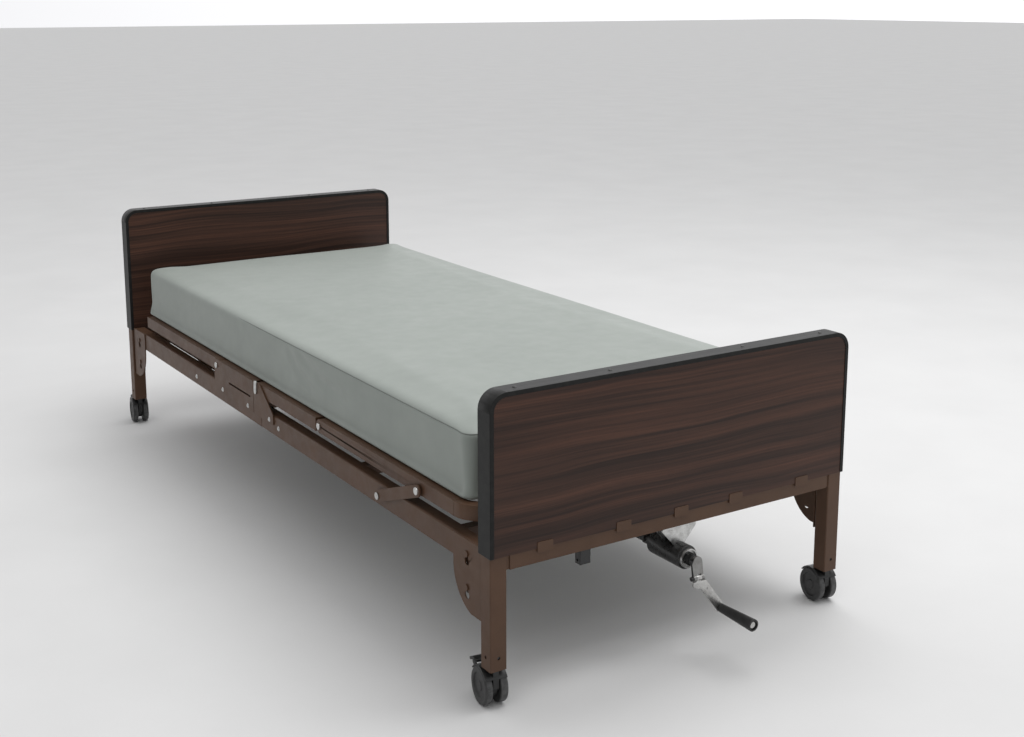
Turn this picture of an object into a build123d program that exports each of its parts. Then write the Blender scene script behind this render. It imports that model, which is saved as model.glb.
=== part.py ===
from build123d import *
import os
from math import atan2, cos, degrees, radians, sin, tan

# Homecare bed with a hand-cranked height drive and motor-driven head and knee sections.
# Millimetres. +Z is up, +Y runs from the foot to the head, and +X is to the right seen from
# the foot. The floor is z = 0, and the origin is the centre of the bed's whole footprint,
# crank included. Every section lies flat and the bed is at its lowest height.

os.makedirs("parts", exist_ok=True)

# ---- Driving dimensions -------------------------------------------------------------------
BED_WIDTH = 914.0
BED_LENGTH = 2188.0
FOOT_FACE = -1050.0
HEAD_FACE = FOOT_FACE + BED_LENGTH

# Bed ends: laminate boards in a black edge channel round a steel frame.
END_DEPTH = 43.4
PANEL_BOTTOM = 309.0
FOOT_TOP = 628.0
HEAD_TOP = 687.0
TRIM_CORNER = 37.0
TRIM_LIP = 9.0
TRIM_WEB = 2.0
TRIM_SIDE = 1.2
BOARD = 2.4
FIT_GAP = 0.05

# Telescopic legs.
LEG_WIDTH = 37.0
LEG_DEPTH = 36.0
LEG_WALL = 1.6
LEG_BOTTOM = 80.0
LEG_X = BED_WIDTH / 2 - TRIM_WEB - 0.3 - LEG_WIDTH / 2
LEG_INSET = END_DEPTH / 2
LEG_HEADROOM = 40.0
INNER_GAP = 0.6
INNER_WALL = 2.0
INNER_TOP = 556.0
LEG_TRAVEL = 224.0
NUT_HEIGHT = 20.0

# Height drive: one shaft under the bed, and mitre gears up to a cross shaft in each bed end.
DRIVE_Z = 219.0
CROSS_Z = 294.0
CROSS_HALF = 15.0
SHAFT_R = 5.0
RUN = 0.06
SCREW_R = 7.0
MITRE_NEAR = 7.0
MITRE_FAR = 12.5
MITRE_CLEAR = 0.6
TUBE_R = 12.5
HOUSING_R = 25.0
HOUSING_WALL = 4.0

# Main frame and deck.
RAIL_X = 447.0
RAIL_Z = (265.0, 316.0)
RAIL_DEPTH = 28.0
RAIL_WALL = 2.5
DECK_Z = (345.0, 377.0)
DECK_RAIL = 25.0
DECK_WALL = 2.5
PIVOT_Z = 361.0
WIRE_Z = 374.0
WIRE_R = 1.5
CROSSBAR_R = 11.0
PLATE = 3.0
WELD_GAP = 0.1
FOOT_DECK_Y = FOOT_FACE + 90.0
KNEE_Y = FOOT_FACE + 770.0
SEAM_Y = FOOT_FACE + 1120.0
THIGH_PIVOT_Y = FOOT_FACE + 1140.0
HEAD_HINGE_Y = FOOT_FACE + 1417.0
HEAD_DECK_Y = FOOT_FACE + 2009.0
LINK_FRAME = (FOOT_FACE + 463.0, 290.0)
LINK_CALF = (FOOT_FACE + 288.0, 355.0)
CROSS_MEMBERS = [FOOT_FACE + d for d in (170.0, 610.0, 1206.0, 1306.0, 1660.0, 2020.0)]

# Head and knee drives.
LEVER_R = 110.0
BACK_RAISE = 65.0
THIGH_RAISE = 35.0
PUSH_ROD_Z = 257.0
PUSH_ROD_R = 9.0
PUSH_ROD_X = 46.0

# Mattress.
MATTRESS_X = 440.0
MATTRESS_Y = (FOOT_FACE + 114.0, FOOT_FACE + 2048.0)
MATTRESS_Z = (377.6, 526.0)

# Casters.
WHEEL_R = 37.5
WHEEL_WIDTH = 16.0
WHEEL_INNER = 8.0
CASTER_TRAIL = 20.0
CASTER_TURN = -8.0
STEM_R = 5.5
BRAKE_R = 3.0
PEDAL_OUT = 37.0
PEDAL_UP = 33.0

SIDES = (-1, 1)
# Outer face, direction towards the middle of the bed, and height of each bed end.
ENDS = {"foot": (FOOT_FACE, 1, FOOT_TOP), "head": (HEAD_FACE, -1, HEAD_TOP)}
CORNERS = [(end, side) for end in ENDS for side in SIDES]


# ---- Helpers ------------------------------------------------------------------------------
def corner_name(end, side):
    return end + ("_left" if side < 0 else "_right")


def leg_y(end):
    face, inward, _ = ENDS[end]
    return face + inward * LEG_INSET


def block(x, y, z, mode=Mode.ADD):
    """A box given by its two limits along each axis."""
    with Locations(((x[0] + x[1]) / 2, (y[0] + y[1]) / 2, (z[0] + z[1]) / 2)):
        Box(abs(x[1] - x[0]), abs(y[1] - y[0]), abs(z[1] - z[0]), mode=mode)


def round_bar(start, finish, radius, mode=Mode.ADD):
    """A cylinder between two points."""
    line = Vector(*finish) - Vector(*start)
    with Locations(Plane(origin=start, z_dir=line)):
        Cylinder(radius, line.length, align=(Align.CENTER, Align.CENTER, Align.MIN), mode=mode)


def taper(start, finish, start_radius, finish_radius, mode=Mode.ADD):
    """A frustum between two points."""
    line = Vector(*finish) - Vector(*start)
    with Locations(Plane(origin=start, z_dir=line)):
        Cone(start_radius, finish_radius, line.length,
             align=(Align.CENTER, Align.CENTER, Align.MIN), mode=mode)


def tube(start, finish, radius, wall):
    round_bar(start, finish, radius)
    round_bar(start, finish, radius - wall, mode=Mode.SUBTRACT)


def mitre_gear(apex, direction):
    """A 45 degree gear blank that opens away from the point where its two axes meet."""
    apex = Vector(*apex)
    direction = Vector(*direction)
    taper(apex + direction * MITRE_NEAR, apex + direction * MITRE_FAR,
          MITRE_NEAR - MITRE_CLEAR, MITRE_FAR - MITRE_CLEAR)


def y_plane(y):
    """Upright plane across the bed, with local X along X and local Y along Z."""
    return Plane.XZ.offset(-y)


def x_plane(x):
    """Upright plane along the bed, with local X along Y and local Y along Z."""
    return Plane.YZ.offset(x)


def bar_profile(first, second, width):
    """A strap outline with round ends about two points."""
    line = Vector(*second) - Vector(*first)
    middle = (Vector(*first) + Vector(*second)) / 2
    with Locations((middle.X, middle.Y)):
        SlotCenterToCenter(line.length, width, rotation=degrees(atan2(line.Y, line.X)))


def end_outline(top, inset, bottom=PANEL_BOTTOM):
    """Outline of a bed end: square at its foot, rounded at its two upper corners."""
    height = top - inset - bottom
    with Locations((0, bottom + height / 2)):
        outline = Rectangle(BED_WIDTH - 2 * inset, height)
    fillet(outline.vertices().group_by(Axis.Y)[-1], TRIM_CORNER - inset)


def finish_part(builder, name):
    builder.part.label = name
    export_step(builder.part, "parts/" + name + ".step")


# ---- Bed ends -----------------------------------------------------------------------------
with BuildPart() as outer_leg_tubes:
    for end, side in CORNERS:
        top = ENDS[end][2] - LEG_HEADROOM
        x, y = side * LEG_X, leg_y(end)
        with BuildSketch(Plane.XY.offset(LEG_BOTTOM)):
            with Locations((x, y)):
                RectangleRounded(LEG_WIDTH, LEG_DEPTH, 3)
                Rectangle(LEG_WIDTH - 2 * LEG_WALL, LEG_DEPTH - 2 * LEG_WALL, mode=Mode.SUBTRACT)
        extrude(amount=top - LEG_BOTTOM)
        block((x - 15, x + 15), (y - 15, y + 15), (top - 18, top))
        block((x - 18, x + 18), (y - 17, y + 17), (top - 20, top - 18))
        round_bar((x, y, top - 21), (x, y, top - 6), SHAFT_R + RUN, mode=Mode.SUBTRACT)
        inner_face = x - side * LEG_WIDTH / 2
        round_bar((inner_face - side * 3, y, CROSS_Z), (inner_face + side * 3, y, CROSS_Z),
                  SHAFT_R + RUN, mode=Mode.SUBTRACT)
        hole_z = LEG_BOTTOM + 26
        outward = -ENDS[end][1]
        round_bar((x, y + outward * 12, hole_z), (x, y + outward * 24, hole_z), 3.5, mode=Mode.SUBTRACT)
        round_bar((x + side * 12, y, hole_z), (x + side * 24, y, hole_z), 3.5, mode=Mode.SUBTRACT)
finish_part(outer_leg_tubes, "outer_leg_tubes")

RAIL_HALF = LEG_X - LEG_WIDTH / 2 - WELD_GAP
with BuildPart() as end_cross_rails:
    for end in ENDS:
        y = leg_y(end)
        top = ENDS[end][2] - LEG_HEADROOM
        low = (CROSS_Z - CROSS_HALF, CROSS_Z + CROSS_HALF)
        block((-411, 411), (y - 18, y + 18), low)
        block((-RAIL_HALF, RAIL_HALF), (y - 15.5, y + 15.5), (low[0] + 0.5, low[1] - 0.5))
        block((-RAIL_HALF, RAIL_HALF), (y - 13.5, y + 13.5), (low[0] + 2, low[1] - 2), mode=Mode.SUBTRACT)
        round_bar((0, y, low[0] - 1), (0, y, low[0] + 6), SHAFT_R + 1, mode=Mode.SUBTRACT)
        block((-RAIL_HALF, RAIL_HALF), (y - 14, y + 14), (top - 40, top - 10))
        block((-RAIL_HALF, RAIL_HALF), (y - 12, y + 12), (top - 38, top - 12), mode=Mode.SUBTRACT)
finish_part(end_cross_rails, "end_cross_rails")

for end in ENDS:
    face, inward, top = ENDS[end]
    low_y = min(face, face + inward * END_DEPTH)
    with BuildPart() as panel_boards:
        for y in (low_y + TRIM_SIDE + FIT_GAP, low_y + END_DEPTH - TRIM_SIDE - FIT_GAP - BOARD):
            with BuildSketch(y_plane(y)):
                end_outline(top, TRIM_WEB + FIT_GAP)
            extrude(amount=-BOARD)
    finish_part(panel_boards, end + "_panel_boards")

with BuildPart() as edge_trims:
    for end in ENDS:
        face, inward, top = ENDS[end]
        low_y = min(face, face + inward * END_DEPTH)
        with BuildSketch(y_plane(low_y)):
            end_outline(top, 0)
        extrude(amount=-END_DEPTH)
        with BuildSketch(y_plane(low_y - 1)):
            end_outline(top, TRIM_LIP, PANEL_BOTTOM - 1)
        extrude(amount=-(END_DEPTH + 2), mode=Mode.SUBTRACT)
        with BuildSketch(y_plane(low_y + TRIM_SIDE)):
            end_outline(top, TRIM_WEB, PANEL_BOTTOM - 1)
        extrude(amount=-(END_DEPTH - 2 * TRIM_SIDE), mode=Mode.SUBTRACT)
finish_part(edge_trims, "edge_trims")

with BuildPart() as trim_screws:
    for end in ENDS:
        top = ENDS[end][2]
        for x in (-390, -170, 170, 390):
            taper((x, leg_y(end), top + FIT_GAP), (x, leg_y(end), top + 1.6), 4.5, 2.8)
finish_part(trim_screws, "trim_screws")

CLIP_X = (-333, -146, 0, 146, 333)
with BuildPart() as panel_clips:
    for end in ENDS:
        face, inward, _ = ENDS[end]
        low_y = min(face, face + inward * END_DEPTH)
        for leaf_y in (low_y, low_y + END_DEPTH - TRIM_SIDE):
            with BuildSketch(y_plane(leaf_y)):
                with Locations(*[(x, PANEL_BOTTOM + 2) for x in CLIP_X]):
                    RectangleRounded(36, 21, 3)
            extrude(amount=-TRIM_SIDE)
finish_part(panel_clips, "panel_clips")

# ---- Corner joints between the bed ends and the side rails --------------------------------
GUSSET_REACH = 106.0
GUSSET_FOOT = 168.0
KEYHOLE_Y = 54.0
KEYHOLE_Z = (287.0, 218.0)


def gusset_point(end, reach, z):
    """A point in a side plate, at a distance from the bed end's inner face."""
    face, inward, _ = ENDS[end]
    return (face + inward * (END_DEPTH + reach), z)


with BuildPart() as corner_gussets:
    for end, side in CORNERS:
        outer = side * (RAIL_X + PLATE)
        with BuildSketch(x_plane(min(side * RAIL_X, outer))):
            with BuildLine():
                Line(gusset_point(end, 2, RAIL_Z[1]), gusset_point(end, GUSSET_REACH, RAIL_Z[1]))
                Line(gusset_point(end, GUSSET_REACH, RAIL_Z[1]), gusset_point(end, GUSSET_REACH, 250))
                ThreePointArc(gusset_point(end, GUSSET_REACH, 250), gusset_point(end, 84, 196),
                              gusset_point(end, 40, GUSSET_FOOT))
                Line(gusset_point(end, 40, GUSSET_FOOT), gusset_point(end, 2, GUSSET_FOOT))
                Line(gusset_point(end, 2, GUSSET_FOOT), gusset_point(end, 2, RAIL_Z[1]))
            make_face()
            for z in KEYHOLE_Z:
                with Locations(gusset_point(end, KEYHOLE_Y, z)):
                    Circle(4.6, mode=Mode.SUBTRACT)
                with Locations(gusset_point(end, KEYHOLE_Y, z - 6)):
                    Rectangle(9.2, 12, mode=Mode.SUBTRACT)
                with Locations(gusset_point(end, KEYHOLE_Y, z - 15)):
                    Circle(8.2, mode=Mode.SUBTRACT)
        extrude(amount=PLATE)
finish_part(corner_gussets, "corner_gussets")

BRACKET_X = (RAIL_X - 7.0, RAIL_X - 4.0)
with BuildPart() as corner_brackets:
    for end, side in CORNERS:
        inward = ENDS[end][1]
        leg_face = gusset_point(end, 0, 0)[0]
        near = leg_face + inward * 0.2
        web_x = (side * BRACKET_X[0], side * BRACKET_X[1])
        block(web_x, (near, leg_face + inward * 82), (RAIL_Z[0] + 4, RAIL_Z[1] - 4))
        block(web_x, (near, leg_face + inward * 30), (GUSSET_FOOT + 4, RAIL_Z[1] - 4))
        block(web_x, (near, leg_face + inward * 66), (GUSSET_FOOT + 34, RAIL_Z[0] + 5))
        flange_x = (side * 420, side * BRACKET_X[1])
        block(flange_x, (near, near + inward * 3), (GUSSET_FOOT + 4, RAIL_Z[1] - 4))
        for z in KEYHOLE_Z:
            y = gusset_point(end, KEYHOLE_Y, z)[0]
            round_bar((side * BRACKET_X[0], y, z), (side * (RAIL_X + PLATE + 0.5), y, z), 4.0)
            round_bar((side * (RAIL_X + PLATE + 0.4), y, z), (side * (RAIL_X + PLATE + 3), y, z), 6.5)
finish_part(corner_brackets, "corner_brackets")

SOCKET_X = 385.0
SOCKET_REACH = 17.0
SOCKET_R = 9.6
with BuildPart() as pole_sockets:
    for side in SIDES:
        y = gusset_point("head", SOCKET_REACH, 0)[0]
        rail_face = leg_y("head") - 18 - WELD_GAP
        round_bar((side * SOCKET_X, y, 300), (side * SOCKET_X, y, 345), 12.5)
        block((side * (SOCKET_X - 8), side * (SOCKET_X + 8)), (y, rail_face), (284, 305))
        round_bar((side * SOCKET_X, y, 283), (side * SOCKET_X, y, 345), SOCKET_R, mode=Mode.SUBTRACT)
finish_part(pole_sockets, "pole_sockets")

# ---- Main frame ---------------------------------------------------------------------------
RAIL_END = 10.0
FLANGE_CUT = 92.0


def channel_profile(side):
    """Side channel, open towards the middle of the bed, in a plane across the bed."""
    centre_z = (RAIL_Z[0] + RAIL_Z[1]) / 2
    height = RAIL_Z[1] - RAIL_Z[0]
    with Locations((side * (RAIL_X - RAIL_DEPTH / 2), centre_z)):
        outline = Rectangle(RAIL_DEPTH, height)
    fillet(outline.vertices().group_by(Axis.X)[-1 if side > 0 else 0], 3.5)
    with Locations((side * (RAIL_X - RAIL_WALL - RAIL_DEPTH / 2), centre_z)):
        Rectangle(RAIL_DEPTH, height - 2 * RAIL_WALL, mode=Mode.SUBTRACT)


with BuildPart() as side_rails:
    for end in ENDS:
        inward = ENDS[end][1]
        start = gusset_point(end, RAIL_END, 0)[0]
        low_y, high_y = sorted((start, SEAM_Y - inward * 1.0))
        for side in SIDES:
            with BuildSketch(y_plane(low_y)):
                channel_profile(side)
            extrude(amount=-(high_y - low_y))
            flange_end = gusset_point(end, FLANGE_CUT, 0)[0]
            block((side * 410, side * (RAIL_X - RAIL_WALL)), (start - inward, flange_end),
                  (RAIL_Z[0] - 1, RAIL_Z[0] + RAIL_WALL + 0.5), mode=Mode.SUBTRACT)
            y = gusset_point(end, KEYHOLE_Y, 0)[0]
            block((side * 440, side * 450), (y - 9, y + 9), (KEYHOLE_Z[0] - 24, KEYHOLE_Z[0] + 8),
                  mode=Mode.SUBTRACT)
finish_part(side_rails, "side_rails")

MEMBER_Z = (286.0, 311.0)
with BuildPart() as frame_cross_members:
    member_half = RAIL_X - RAIL_WALL - WELD_GAP
    for y in CROSS_MEMBERS:
        block((-member_half, member_half), (y - 12.5, y + 12.5), MEMBER_Z)
        block((-member_half - 1, member_half + 1), (y - 10.5, y + 10.5),
              (MEMBER_Z[0] + 2, MEMBER_Z[1] - 2), mode=Mode.SUBTRACT)
    # Bearer that the flat backrest lies on, along each side.
    for side in SIDES:
        block((side * 388, side * 410), (HEAD_HINGE_Y + 40, CROSS_MEMBERS[-1] + 12.5),
              (MEMBER_Z[1] - 1, DECK_Z[0] - 3))
finish_part(frame_cross_members, "frame_cross_members")

OUTER_PLATE = (RAIL_X + 0.4, RAIL_X + 0.4 + PLATE)
PIN_R = 5.0
with BuildPart() as pivot_side_plates:
    for side in SIDES:
        with BuildSketch(x_plane(side * OUTER_PLATE[0] if side > 0 else -OUTER_PLATE[1])):
            low_y = THIGH_PIVOT_Y + 21
            high_y = HEAD_HINGE_Y + 18
            with Locations(((low_y + high_y) / 2, (292 + DECK_Z[1]) / 2)):
                plate = Rectangle(high_y - low_y, DECK_Z[1] - 292)
            fillet(plate.vertices(), 7)
            with Locations((HEAD_HINGE_Y, PIVOT_Z)):
                Circle(PIN_R, mode=Mode.SUBTRACT)
            with Locations((low_y + 95, 331)):
                SlotOverall(150, 5, mode=Mode.SUBTRACT)
        extrude(amount=PLATE)
        with BuildSketch(x_plane(side * OUTER_PLATE[0] if side > 0 else -OUTER_PLATE[1])):
            with BuildLine():
                corners = [(THIGH_PIVOT_Y + 19, 292), (THIGH_PIVOT_Y + 19, 380), (THIGH_PIVOT_Y - 20, 380),
                           (THIGH_PIVOT_Y - 104, 318), (THIGH_PIVOT_Y - 104, 292)]
                FilletPolyline(*corners, radius=6, close=True)
            make_face()
            with Locations((THIGH_PIVOT_Y, PIVOT_Z)):
                Circle(PIN_R, mode=Mode.SUBTRACT)
        extrude(amount=PLATE)
finish_part(pivot_side_plates, "pivot_side_plates")

RIVET_SPOTS = [(FOOT_FACE + 1588, 288), (FOOT_FACE + 1011, 290), (HEAD_HINGE_Y - 40, 302),
               (THIGH_PIVOT_Y + 60, 302), (THIGH_PIVOT_Y - 80, 302)]
with BuildPart() as pins_and_rivets:
    for side in SIDES:
        outside = OUTER_PLATE[1]
        for y in (THIGH_PIVOT_Y, HEAD_HINGE_Y):
            round_bar((side * 424, y, PIVOT_Z), (side * (outside + 0.5), y, PIVOT_Z), PIN_R - 0.02)
        head_start = (side * outside, HEAD_HINGE_Y, PIVOT_Z)
        round_bar(head_start, (side * (outside + 3), HEAD_HINGE_Y, PIVOT_Z), 8)
        with BuildSketch(x_plane(side * outside if side > 0 else -outside - 4)):
            bar_profile((THIGH_PIVOT_Y, PIVOT_Z - 5), (THIGH_PIVOT_Y - 2, PIVOT_Z + 15), 15)
        extrude(amount=4)
        y, z = LINK_FRAME
        round_bar((side * (RAIL_X + 0.1), y, z), (side * 457.5, y, z), PIN_R)
        round_bar((side * 455.3, y, z), (side * 457.5, y, z), 8)
        for spot_y, spot_z in RIVET_SPOTS:
            plated = THIGH_PIVOT_Y - 104 < spot_y < HEAD_HINGE_Y + 18
            base = (OUTER_PLATE[1] if plated else RAIL_X) + FIT_GAP
            taper((side * base, spot_y, spot_z), (side * (base + 2.4), spot_y, spot_z), 6.5, 3.5)
finish_part(pins_and_rivets, "pins_and_rivets")

# ---- Deck sections ------------------------------------------------------------------------
PIVOT_BAR_HALF = RAIL_X - DECK_RAIL - WELD_GAP
BAR_HALF = RAIL_X - DECK_WALL - WELD_GAP


def deck_rail(side, start, finish, round_start=False, round_finish=False):
    """One side channel of a deck section, with a solid round eye at a pivot."""
    low_x, high_x = sorted((side * (RAIL_X - DECK_RAIL), side * RAIL_X))
    block((low_x, high_x), (start, finish), DECK_Z)
    block((side * (RAIL_X - DECK_RAIL - 1), side * (RAIL_X - DECK_WALL)), (start, finish),
          (DECK_Z[0] + DECK_WALL, DECK_Z[1] - DECK_WALL), mode=Mode.SUBTRACT)
    for y, rounded in ((start, round_start), (finish, round_finish)):
        if rounded:
            round_bar((low_x, y, PIVOT_Z), (high_x, y, PIVOT_Z), 16)
            round_bar((low_x, y, PIVOT_Z), (high_x, y, PIVOT_Z), PIN_R + RUN, mode=Mode.SUBTRACT)


def crossbar(y, half=BAR_HALF):
    tube((-half, y, PIVOT_Z), (half, y, PIVOT_Z), CROSSBAR_R, 2)


def wire_deck(builder_name, start, finish):
    """Welded wire deck between two crossbars."""
    with BuildPart() as deck:
        long_x = [-385 + 70 * i for i in range(12)]
        for x in long_x:
            round_bar((x, start, WIRE_Z), (x, finish, WIRE_Z), WIRE_R)
        rows = max(2, round((finish - start) / 95))
        for row in range(1, rows):
            y = start + (finish - start) * row / rows
            round_bar((long_x[0] - 20, y, WIRE_Z - 2.6), (long_x[-1] + 20, y, WIRE_Z - 2.6), WIRE_R)
    finish_part(deck, builder_name)


def lever_tip(pivot_y, angle):
    """Centre of a lever's drive pin when the lever leans this far towards the head."""
    return (pivot_y + LEVER_R * sin(radians(angle)), PIVOT_Z - LEVER_R * cos(radians(angle)))


def drive_lever(side, pivot_y, angle):
    """Lever plate under a torque tube, with the pin that its push rod moves."""
    near_x, far_x = sorted((side * (PUSH_ROD_X + 10), side * (PUSH_ROD_X + 18)))
    tip = lever_tip(pivot_y, angle)
    with BuildSketch(x_plane(near_x)) as lever:
        bar_profile((pivot_y, PIVOT_Z), tip, 20)
    extrude(lever.sketch, amount=far_x - near_x)
    round_bar((side * (PUSH_ROD_X - 8), *tip), (side * (PUSH_ROD_X + 18), *tip), PIN_R)


with BuildPart() as backrest_frame:
    for side in SIDES:
        deck_rail(side, HEAD_HINGE_Y, HEAD_DECK_Y, round_start=True)
    crossbar(HEAD_HINGE_Y, PIVOT_BAR_HALF)
    for y in (HEAD_HINGE_Y + 300, HEAD_DECK_Y - 14):
        crossbar(y)
    drive_lever(-1, HEAD_HINGE_Y, -BACK_RAISE / 2)
finish_part(backrest_frame, "backrest_frame")
wire_deck("backrest_wire_deck", HEAD_HINGE_Y + 2, HEAD_DECK_Y - 12)

with BuildPart() as seat_frame:
    for side in SIDES:
        deck_rail(side, THIGH_PIVOT_Y + 19, HEAD_HINGE_Y - 19)
    for y in (THIGH_PIVOT_Y + 34, HEAD_HINGE_Y - 34):
        crossbar(y)
finish_part(seat_frame, "seat_frame")
wire_deck("seat_wire_deck", THIGH_PIVOT_Y + 28, HEAD_HINGE_Y - 28)

KNEE_LAP = 19.0
# Inner face of the thigh's knee plates, which lie inside the calf rails.
KNEE_PLATE_X = 418.6
with BuildPart() as thigh_frame:
    for side in SIDES:
        deck_rail(side, KNEE_Y + KNEE_LAP, THIGH_PIVOT_Y, round_finish=True)
        with BuildSketch(x_plane(KNEE_PLATE_X if side > 0 else -KNEE_PLATE_X - PLATE)):
            bar_profile((KNEE_Y, PIVOT_Z), (KNEE_Y + 46, PIVOT_Z), 26)
        extrude(amount=PLATE)
        # Plug that joins the plate to the end of the rail's channel.
        block((side * KNEE_PLATE_X, side * (RAIL_X - 1)), (KNEE_Y + KNEE_LAP + 1, KNEE_Y + 44),
              (DECK_Z[0] + 1, DECK_Z[1] - 1))
        round_bar((side * KNEE_PLATE_X, KNEE_Y, PIVOT_Z), (side * (RAIL_X + 0.4), KNEE_Y, PIVOT_Z), PIN_R)
        round_bar((side * (RAIL_X + 0.3), KNEE_Y, PIVOT_Z), (side * (RAIL_X + 3.3), KNEE_Y, PIVOT_Z), 8)
    crossbar(THIGH_PIVOT_Y, PIVOT_BAR_HALF)
    crossbar(KNEE_Y + 32)
    drive_lever(1, THIGH_PIVOT_Y, THIGH_RAISE / 2)
finish_part(thigh_frame, "thigh_frame")
wire_deck("thigh_wire_deck", KNEE_Y + 28, THIGH_PIVOT_Y - 2)

BOW_R = 62.0


def bow_outline(inset, finish):
    """Foot end of the deck, rounded at both corners, out to a distance from the deck's end."""
    with Locations((0, FOOT_DECK_Y + (inset + finish) / 2)):
        outline = Rectangle(2 * (RAIL_X - inset), finish - inset)
    fillet(outline.vertices().group_by(Axis.Y)[0], BOW_R - inset - 2)


with BuildPart() as calf_frame:
    for side in SIDES:
        deck_rail(side, FOOT_DECK_Y + BOW_R + WELD_GAP, KNEE_Y, round_finish=True)
        y, z = LINK_CALF
        round_bar((side * 421, y, z), (side * 448, y, z), PIN_R + 0.6, mode=Mode.SUBTRACT)
    with BuildSketch(Plane.XY.offset(DECK_Z[0])):
        bow_outline(0, BOW_R)
    extrude(amount=DECK_Z[1] - DECK_Z[0])
    with BuildSketch(Plane.XY.offset(DECK_Z[0] - 1)):
        bow_outline(DECK_RAIL, BOW_R + 1)
    extrude(amount=DECK_Z[1] - DECK_Z[0] + 2, mode=Mode.SUBTRACT)
    crossbar(KNEE_Y - 32)
finish_part(calf_frame, "calf_frame")
wire_deck("calf_wire_deck", FOOT_DECK_Y + DECK_RAIL + 1, KNEE_Y - 28)

LINK_X = (RAIL_X + 4.0, RAIL_X + 8.0)
with BuildPart() as calf_links:
    for side in SIDES:
        with BuildSketch(x_plane(side * LINK_X[0] if side > 0 else -LINK_X[1])):
            bar_profile(LINK_FRAME, LINK_CALF, 26)
            with Locations(LINK_FRAME):
                Circle(PIN_R + RUN, mode=Mode.SUBTRACT)
        extrude(amount=LINK_X[1] - LINK_X[0])
        y, z = LINK_CALF
        round_bar((side * (RAIL_X + 0.5), y, z), (side * LINK_X[1], y, z), PIN_R)
        round_bar((side * LINK_X[1], y, z), (side * (LINK_X[1] + 2.5), y, z), 8)
finish_part(calf_links, "calf_links")

# ---- Motor drive of the head and knee sections --------------------------------------------
UNIT_Y = (FOOT_FACE + 1212.0, FOOT_FACE + 1302.0)
UNIT_Z = (236.0, MEMBER_Z[0] - WELD_GAP)
BORE_R = PUSH_ROD_R + 0.5

with BuildPart() as drive_unit_housing:
    block((-75, 75), UNIT_Y, UNIT_Z)
    fillet(drive_unit_housing.edges().filter_by(Axis.Z), 10)
    fillet(drive_unit_housing.faces().sort_by(Axis.Z)[0].edges(), 4)
    unit_middle = (UNIT_Y[0] + UNIT_Y[1]) / 2
    for side in SIDES:
        round_bar((side * 74, unit_middle, 261), (side * 170, unit_middle, 261), 23)
    fillet(drive_unit_housing.faces().group_by(Axis.X)[-1].edges(), 5)
    fillet(drive_unit_housing.faces().group_by(Axis.X)[0].edges(), 5)
    for side in SIDES:
        rod_start = (side * PUSH_ROD_X, UNIT_Y[0] - 1, PUSH_ROD_Z)
        rod_end = (side * PUSH_ROD_X, UNIT_Y[1] + 1, PUSH_ROD_Z)
        round_bar(rod_start, rod_end, BORE_R, mode=Mode.SUBTRACT)
finish_part(drive_unit_housing, "drive_unit_housing")

with BuildPart() as power_inlet:
    inlet_y = (UNIT_Y[0] + UNIT_Y[1]) / 2
    round_bar((120, inlet_y, 237.9), (120, inlet_y, 228), 9)
    round_bar((120, inlet_y, 228.1), (120, inlet_y, 222), 6)
    round_bar((120, inlet_y, 232), (120, inlet_y, 221), 3.5, mode=Mode.SUBTRACT)
finish_part(power_inlet, "power_inlet")

# Back drive tube runs towards the foot, knee drive tube towards the head.
ACTUATORS = {-1: (UNIT_Y[0], UNIT_Y[0] - 228), 1: (UNIT_Y[1], UNIT_Y[1] + 107)}
with BuildPart() as actuator_tubes:
    for side, (mouth, tail) in ACTUATORS.items():
        x = side * PUSH_ROD_X
        reach = -1 if tail < mouth else 1
        round_bar((x, mouth + reach * WELD_GAP, PUSH_ROD_Z), (x, tail, PUSH_ROD_Z), 15)
        round_bar((x, mouth, PUSH_ROD_Z), (x, tail - reach * 5, PUSH_ROD_Z), BORE_R, mode=Mode.SUBTRACT)
finish_part(actuator_tubes, "actuator_tubes")

SLOT_WIDTH = 13.4
for name, side, pivot_y, angle in (("back_push_rod", -1, HEAD_HINGE_Y, -BACK_RAISE / 2),
                                   ("knee_push_rod", 1, THIGH_PIVOT_Y, THIGH_RAISE / 2)):
    with BuildPart() as push_rod:
        tip_y = lever_tip(pivot_y, angle)[0]
        x = side * PUSH_ROD_X
        tail = ACTUATORS[side][1] + (15 if side < 0 else -15)
        toward_rod = 1 if tail > tip_y else -1
        with BuildSketch(x_plane(x - 4)):
            with Locations((tip_y, PUSH_ROD_Z + 2)):
                RectangleRounded(24, 48, 6)
            with Locations((tip_y, PUSH_ROD_Z + 2)):
                SlotOverall(36, SLOT_WIDTH, rotation=90, mode=Mode.SUBTRACT)
        extrude(amount=8)
        round_bar((x, tip_y + toward_rod * 9, PUSH_ROD_Z), (x, tail, PUSH_ROD_Z), PUSH_ROD_R)
    finish_part(push_rod, name)

# ---- Height drive -------------------------------------------------------------------------
GEARBOX_Y = {"foot": (FOOT_FACE - 20, FOOT_FACE + 80), "head": (HEAD_FACE - 80, HEAD_FACE - 2)}
with BuildPart() as gearboxes:
    for end in ENDS:
        low_y, high_y = GEARBOX_Y[end]
        round_bar((0, low_y, DRIVE_Z), (0, high_y, DRIVE_Z), HOUSING_R)
        round_bar((0, low_y + 5, DRIVE_Z), (0, high_y - 5, DRIVE_Z), HOUSING_R - HOUSING_WALL,
                  mode=Mode.SUBTRACT)
        round_bar((0, low_y - 1, DRIVE_Z), (0, high_y + 1, DRIVE_Z), SHAFT_R + RUN, mode=Mode.SUBTRACT)
        round_bar((0, leg_y(end), DRIVE_Z), (0, leg_y(end), DRIVE_Z + 40), SHAFT_R + 1, mode=Mode.SUBTRACT)
finish_part(gearboxes, "gearboxes")

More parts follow.
